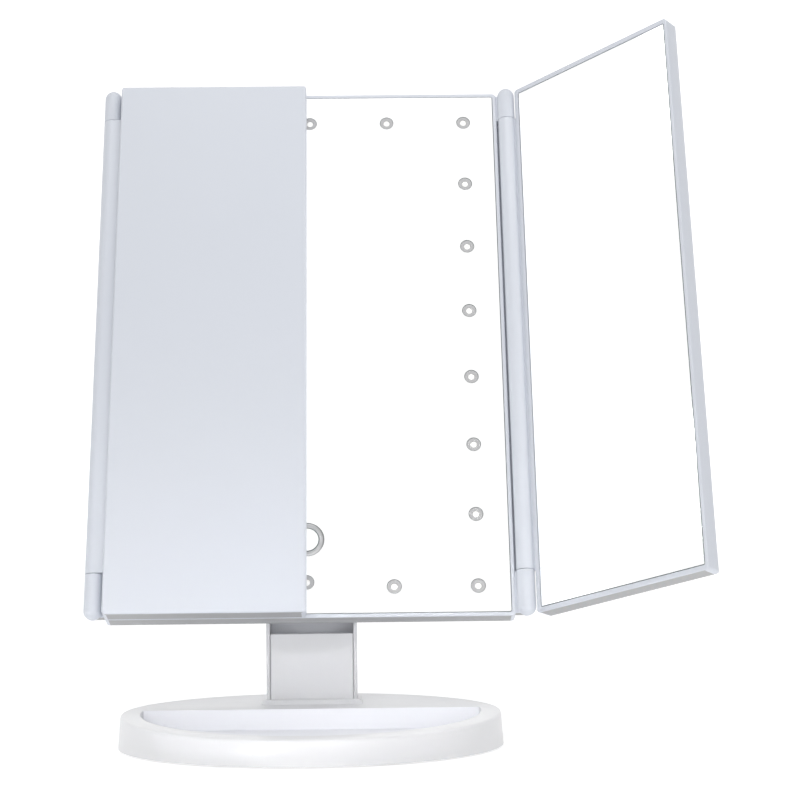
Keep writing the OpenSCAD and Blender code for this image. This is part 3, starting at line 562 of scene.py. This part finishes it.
# where each pane's mirror side looks to, seen from the pane: the viewer, or a closed wing's panel
panel_middle = members_middle([corner.co for corner in frame["nodes"]["centre_glass"].data.vertices])
viewer = Vector((panel_middle.x, -1.0, panel_middle.z + 0.3))
mirror_faces = {"head": viewer, "left_wing": panel_middle, "right_wing": viewer}
make_pane("centre_glass", "centre_pane", "head")
make_pane("touch_cap", "touch_disc", "head")


# ==== Lights ===========================================================================
# Each light is a white-lensed diode that stands in a grey cup, whose rolled front edge shows
# as a ring in the mirror. One of each is made, facing up, and copied to every window.

mirror_plane = min(corner.co.dot(head_back) for corner in frame["nodes"]["centre_glass"].data.vertices)
cup_r = 0.00298
cup_wall = 0.00158
cup_deep = 0.0034
cup_bore_deep = 0.0011
cup_bore_share = 0.96
cup_sunk = 0.0001
lens_r = 0.00138
lens_crown = 0.3
lens_foot = 0.0003
lens_sunk = 0.0006

cup_grey = moulded("cup_grey", (0.47, 0.47, 0.48), 0.45)
let_go()
bpy.ops.mesh.primitive_cylinder_add(vertices=48, radius=cup_r, depth=cup_deep,
                                    location=(0, 0, -cup_deep / 2))
bpy.ops.object.transform_apply(location=True)
pattern_cup = bpy.context.object
edit(pattern_cup)
pick(pattern_cup, "FACE", lambda m: m.z > -hair)
bpy.ops.mesh.inset(thickness=cup_wall)
bpy.ops.mesh.extrude_region_move(TRANSFORM_OT_translate={"value": (0, 0, -cup_bore_deep)})
bpy.ops.transform.resize(value=(cup_bore_share, cup_bore_share, 1))
done()
round_edges(pattern_cup, 0.00022, 3)

lens_white = Finish("lens_white", (0.93, 0.93, 0.91), 0.12)
lens_white.mottle(lens_white.cloud(500.0), (0.93, 0.93, 0.91), (0.90, 0.90, 0.86))
lens_white.set("Roughness", lens_white.cloud(300.0) * 0.1 + 0.08)
lens_white.glow(0.22, (1.0, 1.0, 0.98))
let_go()
bpy.ops.mesh.primitive_uv_sphere_add(segments=32, ring_count=16, radius=lens_r, location=(0, 0, 0))
pattern_lens = bpy.context.object
edit(pattern_lens)
bpy.ops.mesh.select_all(action="SELECT")
bpy.ops.mesh.bisect(plane_co=(0, 0, 0), plane_no=(0, 0, 1), clear_inner=True, use_fill=True)
bpy.ops.mesh.select_all(action="SELECT")
bpy.ops.transform.resize(value=(1, 1, lens_crown), center_override=(0, 0, 0))
pick(pattern_lens, "FACE", lambda m: m.z < hair / 10)
bpy.ops.mesh.extrude_region_move(TRANSFORM_OT_translate={"value": (0, 0, -lens_foot)})
bpy.ops.mesh.select_all(action="SELECT")
bpy.ops.mesh.normals_make_consistent(inside=False)
done()
active(pattern_lens)
bpy.ops.object.shade_smooth_by_angle(angle=math.radians(50))

windows = [members_middle(members) for members in islands("led_cups")]


def window_seats(sunk):
    return [middle + head_back * (mirror_plane + sunk - middle.dot(head_back)) for middle in windows]


cups = set_copies(pattern_cup, "light_cups", window_seats(cup_sunk), -head_back, 0.0)
fit(cups, "head", cup_grey, "led_cups")
lenses = set_copies(pattern_lens, "light_lenses", window_seats(lens_sunk), -head_back, 0.0)
fit(lenses, "head", lens_white.material, "led_chips")
bpy.data.objects.remove(pattern_cup)
bpy.data.objects.remove(pattern_lens)


# ==== Touch control ====================================================================
# A bright plated ring in the mirror marks the touch field. A conductive black pad behind the
# small mirror disc inside it carries the touch to the board.

plated_ring = Finish("plated_ring", (0.62, 0.62, 0.63), 0.3, 1.0)
plated_ring.set("Roughness", plated_ring.cloud(300.0, 3.0) * 0.12 + 0.28)
plated_ring.relief(plated_ring.cloud(900.0), 0.00002, 0.4)
ring = traced("touch_ring", "touch_surround")
round_edges(ring, 0.0004, 4)
fit(ring, "head", plated_ring.material, "touch_ring")
pad_black = Finish("pad_black", (0.02, 0.02, 0.021), 0.7)
pad_black.set("Roughness", pad_black.cloud(400.0) * 0.2 + 0.6)
pad_black.relief(pad_black.cloud(800.0), 0.00004)
dress(pad_black.material, "touch_pad", "switch_housing")


# ==== Boards, tape and power ===========================================================
# Glass-fibre boards under white solder mask, foam tape behind the panes, nickel-plated
# battery contacts and inlet, plain wrapped cells and two stranded leads.

mask_white = Finish("mask_white", (0.72, 0.75, 0.72), 0.35)
weave = mask_white.cloud(700.0, 1.0, (1.0, 0.2, 1.0))
mask_white.mottle(weave, (0.72, 0.75, 0.72), (0.66, 0.70, 0.66))
mask_white.relief(weave, 0.00002)
dress(mask_white.material, "led_board", "control_board")
tape_white = Finish("tape_white", (0.74, 0.74, 0.70), 0.9)
tape_white.mottle(tape_white.cells(1400.0), (0.78, 0.78, 0.74), (0.66, 0.66, 0.62))
tape_white.relief(tape_white.cells(1400.0), 0.00006)
dress(tape_white.material, "glass_tape", "left_wing_tape", "right_wing_tape")
dress(metal("nickel", (0.63, 0.62, 0.59), 0.25), "battery_contacts", "usb_port")
jacket = Finish("cell_jacket", (0.10, 0.105, 0.115), 0.35, 0.4)
jacket.mottle(jacket.cloud(50.0), (0.10, 0.105, 0.115), (0.13, 0.135, 0.145))
jacket.set("Roughness", jacket.cloud(200.0) * 0.15 + 0.28)
dress(jacket.material, "battery_cells")
lead_red = Finish("lead_red", (0.42, 0.03, 0.03), 0.45)
lead_red.mottle(lead_red.cloud(200.0), (0.42, 0.03, 0.03), (0.34, 0.02, 0.02))
dress(lead_red.material, "battery_leads")


# ==== Battery door and switch ==========================================================
# The door slides down out of its bed by its grip grooves. The ribbed knob beside it slides
# in a thumb hollow.

door = traced("battery_door", "bay_door")
round_edges(door, 0.00015)
fit(door, "battery_door", panel_white, "battery_door")
knob_white = moulded("knob_white", (0.60, 0.61, 0.64), 0.4)
knob = traced("power_switch", "switch_knob")
round_edges(knob, 0.0001)
fit(knob, "power_switch", knob_white, "power_switch")


# ==== Wings ============================================================================
# Each wing is a white moulding with its hinge barrel in one piece. The mirrors are stuck into
# its shallow pockets: two magnifying panes on the left, one plain pane on the right.

for side in ("left", "right"):
    wing = traced(side + "_wing_shell", side + "_wing_moulding")
    round_edges(wing, 0.0002)
    fit(wing, side + "_wing", panel_white, side + "_wing_shell")
    # painted shade: the wing's flat lower end is painted a darker grey
    paint_end_shade(wing)
make_pane("left_mirror_upper", "left_pane_upper", "left_wing")
make_pane("left_mirror_lower", "left_pane_lower", "left_wing")
make_pane("right_mirror", "right_pane", "right_wing")
